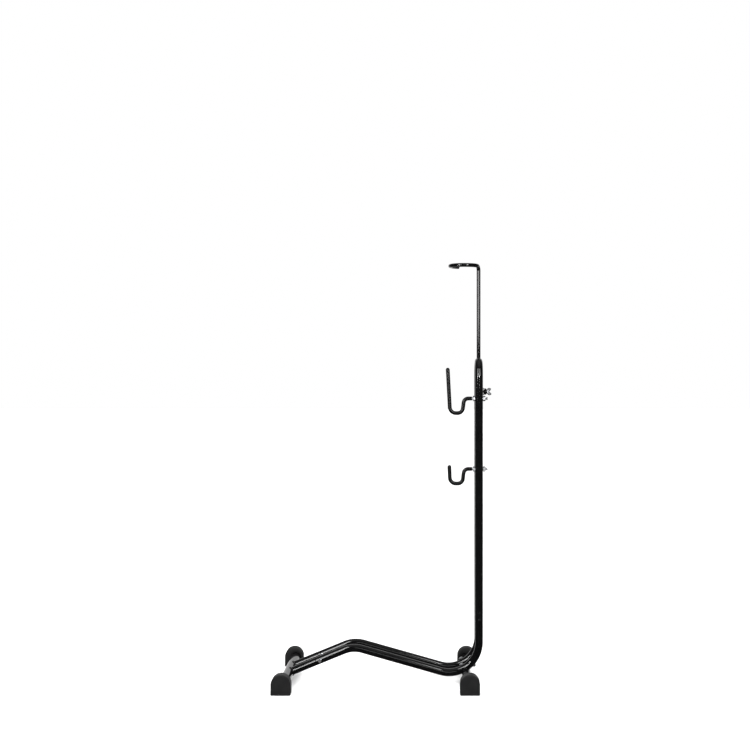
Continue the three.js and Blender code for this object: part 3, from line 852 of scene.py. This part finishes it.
low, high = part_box("clamp_bar")
CLAMP_X, CLAMP_Z = (low.x + high.x) / 2, (low.z + high.z) / 2
CLAMP_R = (high.z - low.z) / 2
CLAMP_END = high.y


def upright(y, radius):
    """A solid rod upright through the clamp bar, for cutting."""
    return rod(Vector((HOOP_X, y, CLAMP_Z - 0.03)), Vector((HOOP_X, y, CLAMP_Z + 0.03)), radius)


low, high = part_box("clamp_nut")
NUT_R, NUT_BACK = (high.z - low.z) / 2, high.x
clamp_path = straight(*[Vector((CLAMP_X, side * CLAMP_END, CLAMP_Z)) for side in (-1, 1)])
screw_hole = rod(Vector((CLAMP_X, 0, CLAMP_Z)), Vector((NUT_BACK + 0.01, 0, CLAMP_Z)), M8["r"] + GAP)
clamp_cuts = [upright(0, ROD_R + GAP), upright(RAIL_Y, TUBE_R), upright(-RAIL_Y, TUBE_R), screw_hole]
surface = hollow(clamp_path, CLAMP_R, CLAMP_R - CLAMP_WALL)
piece("clamp_cross_tube", surface, "gloss_black", STAND, ["clamp_bar"], clamp_cuts)

nut_end = NUT_BACK - CLAMP_X
outline = [(0, NUT_R), (nut_end - 0.0008, NUT_R), (nut_end - 0.0002, NUT_R - 0.0003)]
outline += [(nut_end, NUT_R - 0.0009), (nut_end, M8["r"] + 0.0012)]
outline += [(nut_end - 0.0008, M8["r"] + GAP), (0, M8["r"] + GAP)]
bar_core = cross_rod(CLAMP_X, CLAMP_Z, CLAMP_END, CLAMP_R - 0.0002)
surface = turned(Vector((CLAMP_X, 0, CLAMP_Z)), (1, 0, 0), outline, True)
piece("clamp_weld_nut", surface, "gloss_black", STAND, ["clamp_nut"], [bar_core])

points, outward = [], []
for angle in np.linspace(0, 2 * math.pi, CLAMP_WELD_POINTS, endpoint=False):
    y, z = NUT_R * math.cos(angle), NUT_R * math.sin(angle)
    points.append(Vector((CLAMP_X + math.sqrt(CLAMP_R ** 2 - z * z), y, CLAMP_Z + z)))
    outward.append(Vector((0.7, math.cos(angle), math.sin(angle) * 1.2)))
bead("clamp_nut_weld", points, outward, 0.0019, 0.0015, STAND, 21)

for word, side in SIDE_OF.items():
    points, outward = [], []
    for angle in np.linspace(*LEG_WELD_SPAN, CLAMP_WELD_POINTS):
        x, z = CLAMP_X + CLAMP_R * math.cos(angle), CLAMP_R * math.sin(angle)
        depth = math.sqrt(max(TUBE_R ** 2 - (x - HOOP_X) ** 2, 0))
        points.append(Vector((x, side * min(RAIL_Y - depth, CLAMP_END), CLAMP_Z + z)))
        outward.append(Vector((math.cos(angle), -side * 0.9, math.sin(angle))))
    bead(f"clamp_leg_weld_{word}", points, outward, 0.0022, 0.0017, STAND, 30 + side, closed=False)

# ------------------------------------------------------------------ wing bolt

bolt_low, bolt_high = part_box("clamp_wing_bolt")
hub_start, wing_back = NUT_BACK + GAP, bolt_high.x


def ear_outline(side, inset):
    """A wing from inside the hub to its round lobe, in the plane of the wings."""
    centre = np.array([wing_back - EAR_R, side * EAR_Y])
    root = np.array([hub_start + HUB_LENGTH * HUB_WAIST, 0.0])
    half_root = HUB_LENGTH * EAR_ROOT_SHARE - inset
    lobe = EAR_R - inset
    direction = centre - root
    tilt = math.atan2(direction[1], direction[0])
    across = np.array([-math.sin(tilt), math.cos(tilt)])

    def flank(t, way):
        """A point on one side of the wing, from the lobe at t = 0 to the root at t = 1."""
        waist = lobe * (1 - t) ** 2 * 0.93 + half_root * (1 - (1 - t) ** 2)
        return centre + (root - centre) * (0.32 + 0.68 * t) + way * across * waist

    points = []
    for k in range(33):
        a = tilt + EAR_SWEEP * (k / 32 - 0.5)
        points.append(centre + lobe * np.array([math.cos(a), math.sin(a)]))
    points += [flank(k / 12, 1) for k in range(1, 12)]
    points += [flank(1 - k / 12, -1) for k in range(12)]
    return np.array(points)


def ear(side):
    """One wing, a plate with rounded edges."""
    half, edge = EAR_THICK / 2, EAR_EDGE
    below = [(-half, edge), (-half + edge * 0.3, edge * 0.3), (-half + edge, 0)]
    rings = []
    for height, inset in below + [(-height, inset) for height, inset in below[::-1]]:
        flat = ear_outline(side, inset)
        rings.append(np.stack([flat[:, 0], flat[:, 1], np.full(len(flat), height)], axis=1))
    return skin(rings)


hub = [(hub_start, M8["r"] + 0.001), (hub_start, HUB_R - 0.0008), (hub_start + 0.0006, HUB_R)]
for share, radius_share in ((HUB_WAIST, 1), (0.8, 0.86), (1, 0.62), (1, 0.3)):
    hub.append((hub_start + HUB_LENGTH * share, HUB_R * radius_share))
wings = make_object("clamp_wing_head", turned(Vector((0, 0, 0)), (1, 0, 0), hub))
for side in SIDE_OF.values():
    boolean(wings, ear(side), "UNION")

# Remeshing and smoothing run the hub and wings into one casting.
remesh = wings.modifiers.new("cast", "REMESH")
remesh.mode = "VOXEL"
remesh.voxel_size = CAST_VOXEL
soften = wings.modifiers.new("soften", "SMOOTH")
soften.factor = 0.5
soften.iterations = 5
graph = bpy.context.evaluated_depsgraph_get()
cast = bpy.data.meshes.new_from_object(wings.evaluated_get(graph))
wings.modifiers.clear()
wings.data = cast
cast.transform(Matrix.Translation((0, 0, CLAMP_Z)) @ Matrix.Rotation(WING_TURN, 4, "X"))
cast.materials.clear()
cast.materials.append(MATERIALS["bright_zinc"])
cast.shade_smooth()
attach(wings, "clamp_screw")
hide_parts("clamp_wing_bolt")

shank = hub_start + 0.002 - bolt_low.x
outline = blunt(0, M8["r"] - 0.0007, -1, 0.0006)[::-1] + thread(0.0008, shank, M8["r"], M8["pitch"])
surface = turned(Vector((bolt_low.x, 0, CLAMP_Z)), (1, 0, 0), outline)
piece("clamp_wing_shank", surface, "bright_zinc", "clamp_screw", sharp=22)

# ------------------------------------------------------------------ J hooks


def beside(x, z):
    """A point in the plane of the right leg, where the hooks are."""
    return Vector((x, -RAIL_Y, z))


for word, (tip_x, tip_top) in HOOK_TIPS.items():
    body = f"{word}_hook"
    z = hook_z[word]
    hook_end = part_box(f"{word}_hook_rod")[1].x
    path = bent_path([
        (beside(HOOK_SLEEVE_END_X, z), 0),
        (beside(HOOK_NECK_X, z), HOOK_NECK_R),
        (beside(HOOK_INNER_X, z - HOOK_DROP), HOOK_INNER_BEND_R),
        (beside(HOOK_OUTER_X, z - HOOK_DROP), HOOK_BEND_R),
        (beside(tip_x, tip_top - ROD_R), 0),
    ], HOOK_BEND_STEP)
    outline = [(SLEEVE_DEPTH, SLEEVE_BORE_R * 0.5), (SLEEVE_DEPTH, SLEEVE_BORE_R)]
    outline += lip(0, 1, ROD_R, SLEEVE_BORE_R)[::-1]
    outline += path.wall(LIP * 2, path.length, ROD_R)[1:-1] + dome(path.length, ROD_R, 1)
    surface = swept(path, outline, closed=False)
    piece(f"{word}_hook_vinyl", surface, "black_vinyl", body, [f"{word}_hook_sleeve"], sharp=50)

    length = hook_end - HOOK_SLEEVE_END_X + HOOK_STUD_SINK
    outline = [(0, M8["r"] * 0.5), (0, M8["r"])] + thread(0.004, length - 0.0008, M8["r"], M8["pitch"])
    outline += blunt(length, M8["r"] - 0.0006, 1, 0.0008)
    surface = turned(beside(HOOK_SLEEVE_END_X - HOOK_STUD_SINK, z), (1, 0, 0), outline)
    piece(f"{word}_hook_stud", surface, "bright_zinc", body, [f"{word}_hook_rod"], sharp=22)

    for place in ("front", "rear"):
        node = f"{word}_hook_{place}_nut"
        nut(f"{word}_hook_{place}_hex", M8, beside(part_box(node)[0].x, z), (1, 0, 0), STAND, node)

# ------------------------------------------------------------------ bolts of the frame

for word, side in SIDE_OF.items():
    inward = Vector((0, -side, 0))
    outside, inside = side * (RAIL_Y + TUBE_R + GAP), side * (RAIL_Y - TUBE_R - GAP)
    at = on_stub(side, FRONT_BOLT_AT)
    length = 2 * TUBE_R + M6["thick"] + FRONT_BOLT_SPARE
    node = f"front_joint_bolt_{word}"
    hex_bolt(f"front_joint_hex_bolt_{word}", M6, length, Vector((at.x, outside, at.z)), inward, STAND, node)
    node = f"front_joint_nut_{word}"
    nut(f"front_joint_hex_nut_{word}", M6, Vector((at.x, inside, at.z)), inward, STAND, node)
    screw_at = Vector((HOOP_X, outside, HOOP_SCREW_Z))
    dome_screw(f"hoop_joint_screw_{word}", screw_at, inward, STAND, f"hoop_screw_{word}")
    head_at = DIP_R - TUBE_R - DIP_HEAD_GAP
    nut_at = rear_bar_distance + bars["rear"]["r"] + GAP
    length = nut_at - head_at + M6["thick"] + REAR_BOLT_SPARE
    node = f"rear_bar_bolt_{word}"
    origin = on_rear_bolt(side, head_at)
    hex_bolt(f"rear_bar_hex_bolt_{word}", M6, length, origin, rear_bolt_direction, STAND, node, (0, 1, 0))
    node = f"rear_bar_nut_{word}"
    origin = on_rear_bolt(side, nut_at)
    nut(f"rear_bar_hex_nut_{word}", M6, origin, rear_bolt_direction, STAND, node, (0, 1, 0))

# ------------------------------------------------------------------ floor, light and camera

scene = bpy.context.scene
scene.view_settings.view_transform = "Standard"

bpy.ops.mesh.primitive_plane_add(size=60, location=(0, 0, 0))
floor = bpy.context.object
floor.name = "floor"
floor_material = bpy.data.materials.new("pale_floor")
floor_material.use_nodes = True
floor_shader = floor_material.node_tree.nodes["Principled BSDF"]
floor_shader.inputs["Base Color"].default_value = (0.86, 0.86, 0.86, 1)
floor_shader.inputs["Roughness"].default_value = 0.9
floor_shader.inputs["Specular IOR Level"].default_value = 0.1
floor.data.materials.append(floor_material)
floor.visible_glossy = False
floor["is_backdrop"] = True

# The surroundings look white to the camera. What the stand sees of them is bright behind it, less
# so overhead, and dim elsewhere.
world = bpy.data.worlds.new("studio")
scene.world = world
world.use_nodes = True
sky = world.node_tree
seen = sky.nodes["Background"]
seen.inputs["Color"].default_value = (1, 1, 1, 1)
around = sky.nodes.new("ShaderNodeBackground")
direction = sky.nodes.new("ShaderNodeSeparateXYZ")
link(sky, sky.nodes.new("ShaderNodeTexCoord").outputs["Generated"], direction.inputs["Vector"])
behind = spread(sky, direction.outputs["Y"], 0.05, 1.0, 0.55, 0.90)
above = spread(sky, direction.outputs["Z"], 0.0, 0.6, 0.70, 1.00)
brightest = sky.nodes.new("ShaderNodeMath")
brightest.operation = "MAXIMUM"
link(sky, behind, brightest.inputs[0])
link(sky, above, brightest.inputs[1])
link(sky, brightest.outputs["Value"], around.inputs["Strength"])
choose = sky.nodes.new("ShaderNodeMixShader")
link(sky, sky.nodes.new("ShaderNodeLightPath").outputs["Is Camera Ray"], choose.inputs["Fac"])
link(sky, around.outputs["Background"], choose.inputs[1])
link(sky, seen.outputs["Background"], choose.inputs[2])
link(sky, choose.outputs["Shader"], sky.nodes["World Output"].inputs["Surface"])


def softbox(name, azimuth, elevation, distance, width, height, power, target):
    """An area light that faces the target. Azimuth 0 is on the camera's side, and 90 to the right."""
    data = bpy.data.lights.new(name, "AREA")
    data.shape = "RECTANGLE"
    data.size = width
    data.size_y = height
    data.energy = power
    lamp = bpy.data.objects.new(name, data)
    scene.collection.objects.link(lamp)
    a, e = math.radians(azimuth), math.radians(elevation)
    away = Vector((math.sin(a) * math.cos(e), -math.cos(a) * math.cos(e), math.sin(e)))
    lamp.location = Vector(target) + away * distance
    lamp.rotation_mode = "QUATERNION"
    lamp.rotation_quaternion = (-away).to_track_quat("-Z", "Y")


# Tall lights for the mast, small ones for the streaks on the hoop, and two for the rails and stubs.
softbox("key_left", -38, 0, 1.8, 0.34, 1.5, 28, (0.266, 0, 1.75))
softbox("key_right", 24, 0, 1.8, 0.34, 1.5, 28, (0.266, 0, 1.75))
softbox("streak_left", -46, 0, 1.8, 0.16, 0.05, 3.8, (0.266, 0, 0.888))
softbox("streak_right", 12, 0, 1.8, 0.16, 0.05, 3.8, (0.266, 0, 0.888))
softbox("key_front", 3, 16.5, 4.8, 1.2, 0.5, 8, (0.05, 0, 0.06))
softbox("key_stub", -19, 18, 4.8, 0.7, 0.8, 42, (-0.22, 0, 0.06))

sun_data = bpy.data.lights.new("overhead", "SUN")
sun_data.energy = 4.6
sun_data.angle = math.radians(110)
sun = bpy.data.objects.new("overhead", sun_data)
sun.visible_glossy = False
scene.collection.objects.link(sun)

camera_data = bpy.data.cameras.new("camera")
camera_data.sensor_width = 36
camera_data.lens = 64.56
camera_data.shift_x = -0.0733
camera = bpy.data.objects.new("camera", camera_data)
camera.location = (0.128, -3.82, 0.864)
camera.rotation_euler = (math.radians(90), 0, 0)
scene.collection.objects.link(camera)
scene.camera = camera

low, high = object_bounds()
